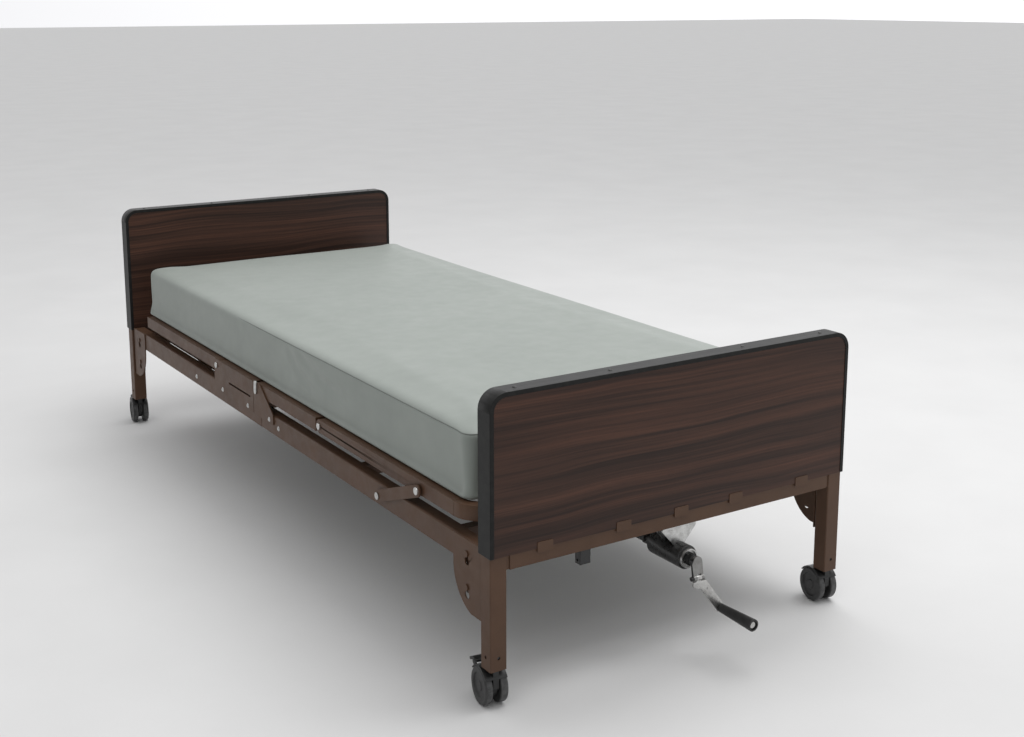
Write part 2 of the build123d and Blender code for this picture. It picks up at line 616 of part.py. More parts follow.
with BuildPart() as gearbox_brackets:
    for end in ENDS:
        for offset in (-16.5, 13.5):
            plate_y = leg_y(end) + offset
            with BuildSketch(y_plane(plate_y)):
                with BuildLine():
                    top = CROSS_Z - CROSS_HALF - WELD_GAP
                    outline = [(-50, top), (48, top), (6, DRIVE_Z + 12),
                               (-6, DRIVE_Z + 12)]
                    FilletPolyline(*outline, radius=4, close=True)
                make_face()
                with Locations((0, DRIVE_Z)):
                    Circle(HOUSING_R + FIT_GAP, mode=Mode.SUBTRACT)
            extrude(amount=-3)
    # Bright cup round the shaft on the outer face of the foot housing.
    cup_y = GEARBOX_Y["foot"][0] - WELD_GAP
    round_bar((0, cup_y, DRIVE_Z), (0, cup_y - 8, DRIVE_Z), 20.5)
    round_bar((0, cup_y - 1.5, DRIVE_Z), (0, cup_y - 9, DRIVE_Z), 18, mode=Mode.SUBTRACT)
    round_bar((0, cup_y + 1, DRIVE_Z), (0, cup_y - 2, DRIVE_Z), SHAFT_R + 1, mode=Mode.SUBTRACT)
finish_part(gearbox_brackets, "gearbox_brackets")

# Middle of the crank's flat bars, and the pin that the arm folds on.
CRANK_Y = FOOT_FACE - 50.0
BAR_THICK = 5.0
FOLD_X = 5.0
FOLD_Z = DRIVE_Z - 34.0
TONGUE = 11.2
with BuildPart() as drive_shaft:
    shaft_end = HEAD_FACE - 12
    round_bar((0, CRANK_Y, DRIVE_Z), (0, FOOT_FACE + 150, DRIVE_Z), SHAFT_R)
    for end in ENDS:
        mitre_gear((0, leg_y(end), DRIVE_Z), (0, -1, 0))
    for y in (FOOT_FACE + 112, HEAD_FACE - 112):
        round_bar((0, y - 20, DRIVE_Z), (0, y + 20, DRIVE_Z), 9)
        block((-13, 13), (y - 7, y + 7), (DRIVE_Z - 6, DRIVE_Z + 6))
        block((-6, 6), (y - 7, y + 7), (DRIVE_Z - 13, DRIVE_Z + 13))
    round_bar((0, FOOT_FACE + 130, DRIVE_Z), (0, HEAD_FACE - 130, DRIVE_Z), TUBE_R)
    round_bar((0, FOOT_FACE + 140, DRIVE_Z), (0, HEAD_FACE - 140, DRIVE_Z), TUBE_R - 2, mode=Mode.SUBTRACT)
    round_bar((0, HEAD_FACE - 150, DRIVE_Z), (0, shaft_end, DRIVE_Z), SHAFT_R)
    # Crank hub: a nut and a boss on the shaft, and a flat plate forked round the fold pin.
    with BuildSketch(y_plane(FOOT_FACE - 36)):
        with Locations((0, DRIVE_Z)):
            RegularPolygon(13, 6)
    extrude(amount=-14)
    round_bar((0, CRANK_Y, DRIVE_Z), (0, FOOT_FACE - 35, DRIVE_Z), 10)
    with BuildSketch(y_plane(CRANK_Y - BAR_THICK / 2)):
        bar_profile((0, DRIVE_Z), (FOLD_X, FOLD_Z), 26)
        with Locations((FOLD_X, FOLD_Z - 10)):
            Rectangle(50, 20, mode=Mode.SUBTRACT)
        with Locations((FOLD_X, FOLD_Z)):
            Rectangle(TONGUE + 0.8, 18, mode=Mode.SUBTRACT)
    extrude(amount=-BAR_THICK)
    for x in (FOLD_X - 13, FOLD_X + 6):
        round_bar((x, CRANK_Y, FOLD_Z), (x + 7, CRANK_Y, FOLD_Z), 6)
    round_bar((FOLD_X - 13, CRANK_Y, FOLD_Z), (FOLD_X + 14, CRANK_Y, FOLD_Z), 3)
    round_bar((FOLD_X - 18, CRANK_Y, FOLD_Z), (FOLD_X - 13, CRANK_Y, FOLD_Z), 4.5)
finish_part(drive_shaft, "drive_shaft")

ARM_TIP = (66.0, 106.0)
GRIP_END = FOOT_FACE - 152.0
with BuildPart() as crank_arm:
    tongue_x = (FOLD_X - TONGUE / 2, FOLD_X + TONGUE / 2)
    round_bar((tongue_x[0], CRANK_Y, FOLD_Z), (tongue_x[1], CRANK_Y, FOLD_Z), 6)
    with BuildSketch(y_plane(CRANK_Y - BAR_THICK / 2)):
        bar_profile((3, FOLD_Z - 12), (9, FOLD_Z - 14), 22)
        bar_profile((12, FOLD_Z - 8), ARM_TIP, 20)
        with Locations((FOLD_X, FOLD_Z + 12.5)):
            Rectangle(80, 40, mode=Mode.SUBTRACT)
        with Locations((FOLD_X, FOLD_Z - 5)):
            Rectangle(TONGUE, 10)
    extrude(amount=-BAR_THICK)
    round_bar((tongue_x[0] - 1, CRANK_Y, FOLD_Z), (tongue_x[1] + 1, CRANK_Y, FOLD_Z), 3 + RUN,
              mode=Mode.SUBTRACT)
    round_bar((31, CRANK_Y, 157), (31, CRANK_Y - 4, 157), 3)
    # Spindle of the grip, with a head at each end.
    round_bar((ARM_TIP[0], CRANK_Y + 5, ARM_TIP[1]), (ARM_TIP[0], CRANK_Y - 3.4, ARM_TIP[1]), 6.5)
    round_bar((ARM_TIP[0], CRANK_Y, ARM_TIP[1]), (ARM_TIP[0], GRIP_END + 7, ARM_TIP[1]), 4)
    round_bar((ARM_TIP[0], GRIP_END + 7.4, ARM_TIP[1]), (ARM_TIP[0], GRIP_END + 3, ARM_TIP[1]), 6.5)
finish_part(crank_arm, "crank_arm")

with BuildPart() as crank_grip:
    grip_start = CRANK_Y - 3.7
    taper((ARM_TIP[0], grip_start, ARM_TIP[1]), (ARM_TIP[0], GRIP_END, ARM_TIP[1]), 9, 13)
    fillet(crank_grip.edges().filter_by(GeomType.CIRCLE).sort_by(Axis.Y)[0], 2)
    round_bar((ARM_TIP[0], grip_start + 1, ARM_TIP[1]), (ARM_TIP[0], GRIP_END + 6, ARM_TIP[1]),
              4 + RUN, mode=Mode.SUBTRACT)
    round_bar((ARM_TIP[0], GRIP_END + 8, ARM_TIP[1]), (ARM_TIP[0], GRIP_END - 1, ARM_TIP[1]),
              9, mode=Mode.SUBTRACT)
finish_part(crank_grip, "crank_grip")

for end in ENDS:
    y = leg_y(end)
    with BuildPart() as transfer_shaft:
        mitre_gear((0, y, DRIVE_Z), (0, 0, 1))
        mitre_gear((0, y, CROSS_Z), (0, 0, -1))
        round_bar((0, y, DRIVE_Z + MITRE_NEAR), (0, y, CROSS_Z - MITRE_NEAR), 4)
    finish_part(transfer_shaft, "transfer_shaft_" + end)
    with BuildPart() as cross_shaft:
        round_bar((-(LEG_X - MITRE_NEAR), y, CROSS_Z), (LEG_X - MITRE_NEAR, y, CROSS_Z), SHAFT_R)
        mitre_gear((0, y, CROSS_Z), (1, 0, 0))
        for side in SIDES:
            mitre_gear((side * LEG_X, y, CROSS_Z), (-side, 0, 0))
    finish_part(cross_shaft, "cross_shaft_" + end)

for end, side in CORNERS:
    name = corner_name(end, side)
    x, y = side * LEG_X, leg_y(end)
    leg_top = ENDS[end][2] - LEG_HEADROOM
    with BuildPart() as lift_screw:
        mitre_gear((x, y, CROSS_Z), (0, 0, 1))
        round_bar((x, y, CROSS_Z + MITRE_NEAR), (x, y, leg_top - 21), SCREW_R)
        round_bar((x, y, leg_top - 22), (x, y, leg_top - 7), SHAFT_R)
    finish_part(lift_screw, "lift_screw_" + name)

    inner_x = LEG_WIDTH - 2 * LEG_WALL - 2 * INNER_GAP
    inner_y = LEG_DEPTH - 2 * LEG_WALL - 2 * INNER_GAP
    with BuildPart() as inner_leg:
        with BuildSketch(Plane.XY.offset(LEG_BOTTOM)):
            with Locations((x, y)):
                Rectangle(inner_x, inner_y)
                Rectangle(inner_x - 2 * INNER_WALL, inner_y - 2 * INNER_WALL, mode=Mode.SUBTRACT)
        extrude(amount=INNER_TOP - LEG_BOTTOM)
        # Nut block that the lift screw drives, and the caster socket at the bottom.
        block((x - 15, x + 15), (y - 14.5, y + 14.5), (INNER_TOP - NUT_HEIGHT, INNER_TOP))
        nut_foot = (x, y, INNER_TOP - NUT_HEIGHT - 1)
        round_bar(nut_foot, (x, y, INNER_TOP + 1), SCREW_R + RUN, mode=Mode.SUBTRACT)
        block((x - 15, x + 15), (y - 14.5, y + 14.5), (LEG_BOTTOM, LEG_BOTTOM + 45))
        round_bar((x, y, LEG_BOTTOM - 1), (x, y, LEG_BOTTOM + 40), STEM_R + RUN, mode=Mode.SUBTRACT)
        wall_x = (x - side * 8, x - side * 18)
        block(wall_x, (y - 7, y + 7), (CROSS_Z - 8, CROSS_Z + LEG_TRAVEL + 8), mode=Mode.SUBTRACT)
    finish_part(inner_leg, "inner_leg_" + name)

# ---- Casters ------------------------------------------------------------------------------
AXLE = Vector(cos(radians(CASTER_TURN)), sin(radians(CASTER_TURN)), 0) * -1
TRAIL = Vector(sin(radians(CASTER_TURN)), -cos(radians(CASTER_TURN)), 0) * -1
UP = Vector(0, 0, 1)
# Whether the second axis of a plane across the axle points up.
RISE = 1 if Plane(origin=(0, 0, 0), x_dir=TRAIL, z_dir=AXLE).y_dir.Z > 0 else -1

for end, side in CORNERS:
    name = corner_name(end, side)
    stem = Vector(side * LEG_X, leg_y(end), 0)
    hub = stem + TRAIL * CASTER_TRAIL + UP * WHEEL_R
    with BuildPart() as caster_wheels:
        for half in SIDES:
            with BuildSketch(Plane(origin=hub, x_dir=AXLE, z_dir=AXLE.cross(UP))):
                low, high = WHEEL_INNER, WHEEL_INNER + WHEEL_WIDTH
                with BuildLine():
                    points = [(low, WHEEL_R), (high, WHEEL_R), (high, 27), (high - 3, 25),
                              (high - 3, 11), (high - 1, 9), (high - 1, 0), (low, 0)]
                    Polyline(*[(half * a, r) for a, r in points], close=True)
                face = make_face()
                fillet(face.vertices().group_by(Axis.Y)[-1], 3.5)
            revolve(axis=Axis(hub, AXLE))
        round_bar(hub - AXLE * (WHEEL_INNER + 1), hub + AXLE * (WHEEL_INNER + 1), 4)
    finish_part(caster_wheels, "caster_wheels_" + name)

    with BuildPart() as caster_hood:
        side_plane = Plane(origin=hub - AXLE * 6, x_dir=TRAIL, z_dir=AXLE)
        with BuildSketch(side_plane):
            Circle(24)
            with Locations((-CASTER_TRAIL / 2, RISE * 20.5)):
                Rectangle(CASTER_TRAIL + 22, 36)
            Circle(4 + RUN, mode=Mode.SUBTRACT)
        extrude(amount=12)
        # Fender over both tyres, open below, then the boss and stem that turn in the leg.
        fender_plane = Plane(origin=hub - AXLE * 23, x_dir=TRAIL, z_dir=AXLE)
        with BuildSketch(fender_plane):
            Circle(WHEEL_R + 3.6)
            Circle(WHEEL_R + 1.2, mode=Mode.SUBTRACT)
            with Locations((0, -RISE * 26)):
                Rectangle(100, 100, mode=Mode.SUBTRACT)
        extrude(amount=46)
        round_bar(stem + UP * 75.4, stem + UP * (LEG_BOTTOM - 0.4), 11)
        round_bar(stem + UP * (LEG_BOTTOM - 1), stem + UP * (LEG_BOTTOM + 38), STEM_R)
        if side < 0:
            for half in SIDES:
                with BuildSketch(Plane(origin=hub + AXLE * (half * 16.5 - 1.5), x_dir=TRAIL, z_dir=AXLE)):
                    bar_profile((32, RISE * 31), (PEDAL_OUT, RISE * PEDAL_UP), 11)
                    with Locations((PEDAL_OUT, RISE * PEDAL_UP)):
                        Circle(BRAKE_R + RUN, mode=Mode.SUBTRACT)
                extrude(amount=3)
    finish_part(caster_hood, "caster_hood_" + name)

for end in ENDS:
    name = corner_name(end, -1)
    stem = Vector(-LEG_X, leg_y(end), 0)
    hub = stem + TRAIL * CASTER_TRAIL + UP * WHEEL_R
    pivot = hub + TRAIL * PEDAL_OUT + UP * PEDAL_UP
    with BuildPart() as brake_pedal:
        round_bar(pivot - AXLE * 18.5, pivot + AXLE * 18.5, BRAKE_R)
        with BuildSketch(Plane(origin=pivot - AXLE * 14.5, x_dir=TRAIL, z_dir=AXLE)):
            bar_profile((0, 0), (12, RISE * 1), 7)
            bar_profile((12, RISE * 1), (25, RISE * -5), 6)
        extrude(amount=29)
    finish_part(brake_pedal, "brake_pedal_" + name)

# ---- Small hanging block behind the foot cross rail ---------------------------------------
with BuildPart() as rail_hanger_block:
    hanger_y = leg_y("foot") + 18
    block((-246, -220), (hanger_y - 31, hanger_y - 13), (248, CROSS_Z - CROSS_HALF - WELD_GAP))
    fillet(rail_hanger_block.edges().filter_by(Axis.Z), 2)
    round_bar((-250, hanger_y - 22, 256), (-215, hanger_y - 22, 256), 3, mode=Mode.SUBTRACT)
finish_part(rail_hanger_block, "rail_hanger_block")

# ---- Mattress -----------------------------------------------------------------------------
# One foam block per deck section. The ends that meet at a section's pivot lean back by half
# of the bend, where the real foam squeezes.
SPARE_ANGLE = 1.0


def lean(angle):
    """How far a leaning end face moves back at the mattress's bottom and top."""
    return [(z - PIVOT_Z) * tan(radians(angle)) for z in MATTRESS_Z]


BACK_LEAN = lean(BACK_RAISE / 2 + SPARE_ANGLE)
THIGH_LEAN = lean(THIGH_RAISE / 2 + SPARE_ANGLE)
SECTIONS = {
    "calf": (MATTRESS_Y[0], MATTRESS_Y[0], KNEE_Y - 0.3, KNEE_Y - 0.3),
    "thigh": (KNEE_Y + 0.3, KNEE_Y + 0.3, THIGH_PIVOT_Y - THIGH_LEAN[0], THIGH_PIVOT_Y - THIGH_LEAN[1]),
    "seat": (THIGH_PIVOT_Y + THIGH_LEAN[0], THIGH_PIVOT_Y + THIGH_LEAN[1],
             HEAD_HINGE_Y - BACK_LEAN[0], HEAD_HINGE_Y - BACK_LEAN[1]),
    "back": (HEAD_HINGE_Y + BACK_LEAN[0], HEAD_HINGE_Y + BACK_LEAN[1], MATTRESS_Y[1], MATTRESS_Y[1]),
}
for section, (low_start, high_start, low_finish, high_finish) in SECTIONS.items():
    with BuildPart() as foam:
        with BuildSketch(x_plane(-MATTRESS_X)):
            with BuildLine():
                Polyline((low_start, MATTRESS_Z[0]), (low_finish, MATTRESS_Z[0]),
                         (high_finish, MATTRESS_Z[1]), (high_start, MATTRESS_Z[1]), close=True)
            make_face()
        extrude(amount=2 * MATTRESS_X)
        upright = foam.edges().filter_by(Axis.Z)
        if section == "calf":
            fillet(upright.group_by(Axis.Y)[0], 34)
        if section == "back":
            fillet(upright.group_by(Axis.Y)[-1], 34)
        sides = foam.edges().filter_by(Axis.Y).group_by(Axis.Z)[-1]
        fillet(sides, 14)
    finish_part(foam, "mattress_" + section)
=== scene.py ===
import math

import bmesh
import bpy
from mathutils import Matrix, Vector, noise
from mathutils.bvhtree import BVHTree


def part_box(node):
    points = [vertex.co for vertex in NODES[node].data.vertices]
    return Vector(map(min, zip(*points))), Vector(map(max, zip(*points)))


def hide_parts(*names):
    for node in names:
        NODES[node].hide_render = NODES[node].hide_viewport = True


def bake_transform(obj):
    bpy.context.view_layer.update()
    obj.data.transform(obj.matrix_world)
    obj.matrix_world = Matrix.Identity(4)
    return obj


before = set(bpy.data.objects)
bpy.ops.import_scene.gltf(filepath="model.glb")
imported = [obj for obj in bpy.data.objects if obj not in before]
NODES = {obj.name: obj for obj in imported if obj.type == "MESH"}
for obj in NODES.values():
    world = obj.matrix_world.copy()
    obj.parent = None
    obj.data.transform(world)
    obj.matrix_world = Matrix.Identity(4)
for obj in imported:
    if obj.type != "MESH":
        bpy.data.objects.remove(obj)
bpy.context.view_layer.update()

# Looks of an adjustable bed: laminate bed ends, brown powder-coated steel and a vinyl-covered
# foam mattress. Metres, in the frame's axes: +Z up, foot to head along +Y, floor at z = 0.

SCENE = bpy.context.scene
MM = 0.001


def smoothstep(low, high, value):
    t = min(1.0, max(0.0, (value - low) / (high - low)))
    return t * t * (3 - 2 * t)


# ---- Camera -------------------------------------------------------------------------------
CAMERA_PLACE = Vector((-1.721, -3.104, 1.337))
CAMERA_TURN = 32.57
CAMERA_DOWN = 11.04
CAMERA_LENS = 48.55
CAMERA_SHIFT = -0.100


def make_camera():
    turn, down = math.radians(CAMERA_TURN), math.radians(CAMERA_DOWN)
    ahead = Vector((math.sin(turn) * math.cos(down), math.cos(turn) * math.cos(down), -math.sin(down)))
    camera = bpy.data.objects.new("camera", bpy.data.cameras.new("camera"))
    SCENE.collection.objects.link(camera)
    camera.location = CAMERA_PLACE
    camera.rotation_euler = ahead.to_track_quat("-Z", "Y").to_euler()
    camera.data.lens = CAMERA_LENS
    camera.data.sensor_width = 36
    camera.data.shift_y = CAMERA_SHIFT
    camera.data.clip_end = 400
    SCENE.camera = camera


# ---- Materials ----------------------------------------------------------------------------
class Surface:
    """A procedural material: one Principled shader, and the nodes that feed it."""

    def __init__(self, name, colour, roughness, metallic=0.0, **constants):
        self.material = bpy.data.materials.new(name)
        self.material.use_nodes = True
        self.tree = self.material.node_tree
        self.shader = self.tree.nodes["Principled BSDF"]
        self.shader.inputs["Base Color"].default_value = (*colour, 1)
        self.shader.inputs["Roughness"].default_value = roughness
        self.shader.inputs["Metallic"].default_value = metallic
        for socket, value in constants.items():
            self.shader.inputs[socket.replace("_", " ")].default_value = value
        self.place = self.tree.nodes.new("ShaderNodeTexCoord").outputs["Object"]
        self.height = None

    def link(self, output, socket):
        self.tree.links.new(output, socket)

    def stretched(self, scale, vector=None):
        """Coordinates with their own scale along each axis."""
        node = self.tree.nodes.new("ShaderNodeMapping")
        node.inputs["Scale"].default_value = scale
        self.link(vector or self.place, node.inputs["Vector"])
        return node.outputs["Vector"]

    def noise(self, scale, detail=3.0, roughness=0.55, distortion=0.0, vector=None):
        node = self.tree.nodes.new("ShaderNodeTexNoise")
        node.inputs["Scale"].default_value = scale
        node.inputs["Detail"].default_value = detail
        node.inputs["Roughness"].default_value = roughness
        node.inputs["Distortion"].default_value = distortion
        self.link(vector or self.place, node.inputs["Vector"])
        return node.outputs["Fac"]

    def cells(self, scale, feature="F1", vector=None):
        node = self.tree.nodes.new("ShaderNodeTexVoronoi")
        node.feature = feature
        node.inputs["Scale"].default_value = scale
        self.link(vector or self.place, node.inputs["Vector"])
        return node.outputs["Distance"]

    def cell_tones(self, scale):
        """A random grey for each cell."""
        node = self.tree.nodes.new("ShaderNodeTexVoronoi")
        node.inputs["Scale"].default_value = scale
        self.link(self.place, node.inputs["Vector"])
        grey = self.tree.nodes.new("ShaderNodeRGBToBW")
        self.link(node.outputs["Color"], grey.inputs["Color"])
        return grey.outputs["Val"]

    def ramp(self, factor, *stops):
        """Colours or greys at places along a 0 to 1 factor."""
        node = self.tree.nodes.new("ShaderNodeValToRGB")
        points = node.color_ramp.elements
        while len(points) < len(stops):
            points.new(0.5)
        for point, (place, tone) in zip(points, stops):
            point.position = place
            point.color = (*tone, 1) if isinstance(tone, tuple) else (tone, tone, tone, 1)
        self.link(factor, node.inputs["Fac"])
        return node.outputs["Color"]

    def spread(self, factor, low, high):
        """The factor's middle stretched to run from low to high."""
        node = self.tree.nodes.new("ShaderNodeMapRange")
        node.inputs["From Min"].default_value = 0.3
        node.inputs["From Max"].default_value = 0.7
        node.inputs["To Min"].default_value = low
        node.inputs["To Max"].default_value = high
        self.link(factor, node.inputs["Value"])
        return node.outputs["Result"]

    def mix(self, factor, first, second, blend="MIX"):
        node = self.tree.nodes.new("ShaderNodeMix")
        node.data_type = "RGBA"
        node.blend_type = blend
        for value, socket in ((factor, node.inputs[0]), (first, node.inputs[6]), (second, node.inputs[7])):
            if isinstance(value, bpy.types.NodeSocket):
                self.link(value, socket)
            else:
                socket.default_value = (*value, 1) if isinstance(value, tuple) else value
        return node.outputs[2]

    def colour(self, output):
        self.link(output, self.shader.inputs["Base Color"])

    def roughness(self, output):
        self.link(output, self.shader.inputs["Roughness"])

    def bump(self, height, distance, strength=0.5):
        """Adds a layer of relief, distance metres deep."""
        node = self.tree.nodes.new("ShaderNodeBump")
        node.inputs["Strength"].default_value = strength
        node.inputs["Distance"].default_value = distance
        self.link(height, node.inputs["Height"])
        if self.height is not None:
            self.link(self.height, node.inputs["Normal"])
        self.height = node.outputs["Normal"]
        self.link(self.height, self.shader.inputs["Normal"])


def powder_coat():
    """Baked brown powder: fine orange peel, slight mottling, and rubbed patches."""
    paint = Surface("brown_powder_coat_finish", (0.086, 0.045, 0.026), 0.44, Specular_IOR_Level=0.26)
    mottle = paint.noise(9, 4)
    speck = paint.noise(900, 2)
    tone = paint.ramp(mottle, (0.3, (0.074, 0.038, 0.022)), (0.7, (0.098, 0.051, 0.029)))
    paint.colour(paint.mix(paint.spread(speck, 0.0, 0.25), tone, (0.125, 0.078, 0.050)))
    rubbed = paint.noise(35, 5, 0.7)
    paint.roughness(paint.spread(rubbed, 0.36, 0.52))
    paint.bump(paint.noise(650, 2), 0.10 * MM, 0.35)
    return paint.material


def laminate():
    """Dark walnut print: long wavy bands, finer streaks and short pores along X."""
    wood = Surface("wood_laminate_finish", (0.05, 0.03, 0.02), 0.42, Specular_IOR_Level=0.26)
    bend = wood.noise(1.0, 2, vector=wood.stretched((1.3, 9, 2.4)))
    wave = wood.tree.nodes.new("ShaderNodeVectorMath")
    wave.operation = "MULTIPLY_ADD"
    wood.link(bend, wave.inputs[0])
    wave.inputs[1].default_value = (0, 0, 0.07)
    wood.link(wood.place, wave.inputs[2])
    waved = wave.outputs["Vector"]
    broad = wood.noise(1.0, 2, 0.5, vector=wood.stretched((0.8, 30, 9), waved))
    bands = wood.noise(1.0, 3, 0.55, vector=wood.stretched((1.0, 30, 75), waved))
    streaks = wood.noise(1.0, 4, 0.65, vector=wood.stretched((2.6, 30, 260), waved))
    pores = wood.noise(1.0, 2, 0.6, vector=wood.stretched((22, 30, 1400), waved))
    ground = wood.ramp(broad, (0.30, (0.036, 0.0185, 0.0130)), (0.72, (0.062, 0.0275, 0.0175)))
    lines = wood.ramp(bands, (0.36, (0.52, 0.52, 0.53)), (0.50, (0.92, 0.91, 0.91)),
                      (0.66, (1.38, 1.30, 1.24)))
    banded = wood.mix(1.0, ground, lines, "MULTIPLY")
    fine = wood.ramp(streaks, (0.36, (0.68, 0.67, 0.67)), (0.64, (1.26, 1.24, 1.22)))
    streaked = wood.mix(0.8, banded, fine, "MULTIPLY")
    wood.colour(wood.mix(wood.ramp(pores, (0.60, 0.0), (0.70, 0.45)), streaked, (0.014, 0.009, 0.008)))
    wood.roughness(wood.spread(streaks, 0.36, 0.46))
    wood.bump(pores, 0.05 * MM, 0.25)
    return wood.material


def extruded_trim():
    """Satin black edge channel with faint lines from its drawing die."""
    trim = Surface("black_trim_finish", (0.012, 0.012, 0.012), 0.44, Specular_IOR_Level=0.16)
    dust = trim.noise(60, 5, 0.65)
    trim.colour(trim.ramp(dust, (0.35, (0.010, 0.010, 0.010)), (0.75, (0.020, 0.020, 0.019))))
    lines = trim.noise(1.0, 2, vector=trim.stretched((4, 900, 900)))
    trim.roughness(trim.spread(lines, 0.34, 0.46))
    trim.bump(trim.noise(1400, 2), 0.05 * MM, 0.25)
    return trim.material


def plated_zinc():
    """Bright zinc with soft spangle and dull patches."""
    zinc = Surface("zinc_plate_finish", (0.62, 0.62, 0.61), 0.30, 1.0)
    spangle = zinc.cell_tones(160)
    stain = zinc.noise(70, 5, 0.65)
    tone = zinc.ramp(stain, (0.35, (0.46, 0.46, 0.45)), (0.70, (0.74, 0.74, 0.73)))
    zinc.colour(zinc.mix(0.22, tone, spangle, "MULTIPLY"))
    zinc.roughness(zinc.spread(stain, 0.22, 0.44))
    zinc.bump(zinc.noise(420, 3), 0.06 * MM, 0.3)
    return zinc.material


def brushed_steel(name, tone, low, high):
    """Cold-drawn steel with fine scratches and a little grime."""
    steel = Surface(name, (tone, tone, tone), low, 1.0)
    scratch = steel.noise(1.0, 3, 0.7, vector=steel.stretched((900, 90, 900)))
    grime = steel.noise(45, 5, 0.7)
    dark, light = 0.72 * tone, 1.08 * tone
    worn, clean = (dark, dark * 0.98, dark * 0.95), (light, light, light * 0.98)
    steel.colour(steel.ramp(grime, (0.32, worn), (0.66, clean)))
    steel.roughness(steel.spread(scratch, low, high))
    steel.bump(scratch, 0.03 * MM, 0.3)
    return steel.material


def moulded_plastic(name, tone, low, high, grain=1100):
    """Moulded black plastic with a fine spark-eroded grain."""
    plastic = Surface(name, (tone, tone, tone), low, Specular_IOR_Level=0.5)
    scuff = plastic.noise(120, 6, 0.72)
    plastic.colour(plastic.ramp(scuff, (0.40, (tone * 0.8,) * 3), (0.72, (tone * 1.9,) * 3)))
    plastic.roughness(plastic.spread(scuff, low, high))
    plastic.bump(plastic.noise(grain, 2), 0.06 * MM, 0.4)
    return plastic.material


def cover_vinyl(name, shade=0.86):
    """Grey-green coated fabric: leather-like grain, faint mottling and a soft sheen."""
    light = (0.318 * shade, 0.350 * shade, 0.322 * shade)
    deep = (0.290 * shade, 0.322 * shade, 0.295 * shade)
    vinyl = Surface(name, light, 0.50, Specular_IOR_Level=0.42, Sheen_Weight=0.12, Sheen_Roughness=0.5)
    cloudy = vinyl.noise(4.5, 5, 0.6)
    vinyl.colour(vinyl.ramp(cloudy, (0.32, deep), (0.68, light)))
    vinyl.roughness(vinyl.spread(vinyl.noise(26, 4), 0.44, 0.56))
    vinyl.bump(vinyl.noise(7, 3, 0.5), 2.2 * MM, 0.30)
    vinyl.bump(vinyl.cells(720), 0.10 * MM, 0.30)
    return vinyl.material


def make_finishes():
    """One finish for each material slot of the record."""
    return {
        "brown_powder_coat": powder_coat(),
        "wood_laminate": laminate(),
        "black_trim": extruded_trim(),
        "zinc_plate": plated_zinc(),
        "bright_steel": brushed_steel("bright_steel_finish", 0.60, 0.22, 0.40),
        "machined_steel": brushed_steel("machined_steel_finish", 0.30, 0.30, 0.50),
        "black_plastic": moulded_plastic("black_plastic_finish", 0.012, 0.30, 0.48),
        "housing_black": moulded_plastic("housing_black_finish", 0.018, 0.22, 0.38, 700),
        "grip_rubber": moulded_plastic("grip_rubber_finish", 0.014, 0.42, 0.62, 800),
        "tyre_grey": moulded_plastic("tyre_grey_finish", 0.030, 0.40, 0.58, 900),
        "dark_screw": brushed_steel("dark_screw_finish", 0.05, 0.30, 0.45),
        "mattress_cover": cover_vinyl("mattress_cover_finish"),
        # Painted shade: a dark steel for the zinc inner legs, standing in for the shadow inside the outer
        # tubes seen through their holes.
        "shade_dark_steel": brushed_steel("oiled_steel_finish", 0.10, 0.34, 0.52),
        "worn_tread": moulded_plastic("worn_tread_finish", 0.055, 0.34, 0.50, 900),
    }


EDGE_ROUNDING = {
    "edge_trims": 0.9, "outer_leg_tubes": 0.7, "end_cross_rails": 0.8, "side_rails": 0.7,
    "corner_gussets": 0.7, "pivot_side_plates": 0.7, "calf_frame": 0.8, "backrest_frame": 0.8,
    "thigh_frame": 0.8, "seat_frame": 0.8, "calf_links": 0.6, "crank_arm": 0.8, "gearbox_brackets": 0.5,
    "gearboxes": 1.0, "panel_clips": 0.35, "corner_brackets": 0.5, "rail_hanger_block": 0.6,
    "frame_cross_members": 0.6, "pins_and_rivets": 0.4,
}


# Where the dark crank hub ends along Y, and the dark knob of its fold pin along X.
HUB_END = -1.0965
KNOB_END = -0.0085


def paint_where(name, finish, chosen):
    """Gives a second finish to the faces whose middle and direction are chosen."""
    node = NODES[name]
    node.data.materials.append(finish)
    for face in node.data.polygons:
        middle = node.matrix_world @ face.center
        if chosen(middle, node.matrix_world.to_3x3() @ face.normal):
            face.material_index = 1


def finish_details(finishes):
    """Heads, treads and shafts that differ from the rest of their node."""
    paint_where("drive_shaft", finishes["housing_black"], lambda at, way: at.y > HUB_END or at.x < KNOB_END)
    for name, height in (("thigh_frame", 3.1), ("calf_links", 2.4)):
        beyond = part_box(name)[1].x - height * MM
        paint_where(name, finishes["bright_steel"], lambda at, way: abs(at.x) > beyond)
    for name in [n for n in NODES if n.startswith("caster_wheels_")]:
        low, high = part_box(name)
        centre = (low + high) / 2
        radius = 0.93 * (high.z - low.z) / 2
        paint_where(name, finishes["worn_tread"],
                    lambda at, way: (at - centre).yz.length > radius and abs(way.x) < 0.6)


def finish_cad_nodes(finishes):
    for name, node in NODES.items():
        slot = node.material_slots[0].material.name
        # The zinc inner legs get the dark steel finish: painted shade for the inside of the outer tubes.
        if name.startswith("inner_leg_"):
            slot = "shade_dark_steel"
        node.material_slots[0].material = finishes[slot]
        if name in EDGE_ROUNDING:
            weld = node.modifiers.new("weld", "WELD")
            weld.merge_threshold = 0.002 * MM
            edge = node.modifiers.new("edges", "BEVEL")
            edge.width = EDGE_ROUNDING[name] * MM
            edge.segments = 2
            edge.limit_method = "ANGLE"
            edge.angle_limit = math.radians(40)
            edge.harden_normals = True


# ---- Mattress -----------------------------------------------------------------------------
# Folds that fan out over the left side from the back hinge, in mm: depth, half width, and places
# (y, z) along each. The cover bulges a little below each fold.
SIDE_FOLDS = (
    (13.0, 16.0, ((-50, 514), (-129, 451), (-269, 393))),
    (17.0, 21.0, ((-96, 510), (-249, 465), (-469, 431))),
    (11.0, 23.0, ((-185, 510), (-430, 494), (-685, 485))),
)


